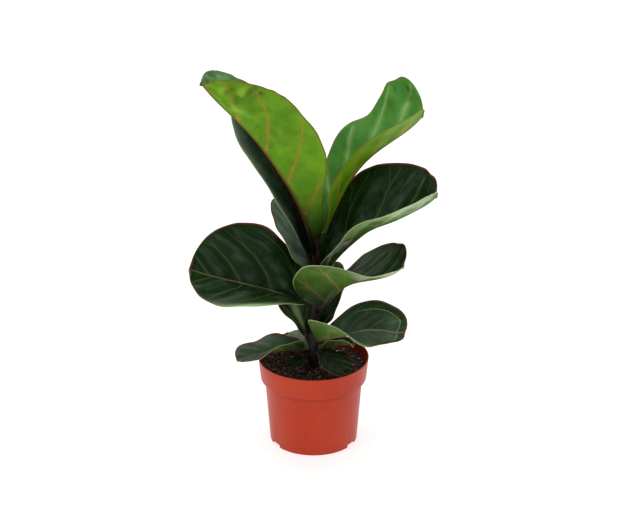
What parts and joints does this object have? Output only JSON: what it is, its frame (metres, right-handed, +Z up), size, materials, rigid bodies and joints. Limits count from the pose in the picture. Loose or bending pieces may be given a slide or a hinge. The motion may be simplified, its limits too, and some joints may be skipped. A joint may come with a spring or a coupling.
{
  "type": "potted fiddle leaf fig",
  "caption": "Young fiddle leaf fig with large, folded, broad-ended leaves on one slim stem, growing in soil in a round terracotta-red plastic pot with a banded rim.",
  "frame": {"origin": "on the axis of the pot, in the plane that its foot ring stands on", "axes": "+Z up along the pot axis; -Y is the front of the plant and +X its right"},
  "size_m": [0.2623, 0.1766, 0.4436],
  "materials": {
    "pot_plastic": "injection-moulded, satin, terracotta red",
    "potting_soil": "loose dark peat mix with bark chips and perlite",
    "stem_bark": "young brown bark with dry sheaths",
    "leaf_mature": "leathery dark green blade, satin, paler underneath, fine red-brown margin",
    "leaf_young": "fresh yellow-green blade, satin, quilted between its veins"
  },
  "bodies": {
    "root": {"pot": "pot_plastic", "soil": "potting_soil", "stem": "stem_bark", "leaf_top_left": "leaf_young", "leaf_top_right": "leaf_young", "leaf_upper_back_left": "leaf_mature", "leaf_middle_back_left": "leaf_mature", "leaf_upper_right": "leaf_mature", "leaf_middle_left": "leaf_mature", "leaf_middle_front": "leaf_mature", "leaf_middle_back_right": "leaf_mature", "leaf_lower_right": "leaf_mature", "leaf_lower_back_left": "leaf_mature", "leaf_low_left": "leaf_mature", "leaf_low_back_left": "leaf_mature", "leaf_low_right": "leaf_mature", "leaf_low_front": "leaf_mature", "leaf_low_front_left": "leaf_mature"}
  },
  "joints": []
}
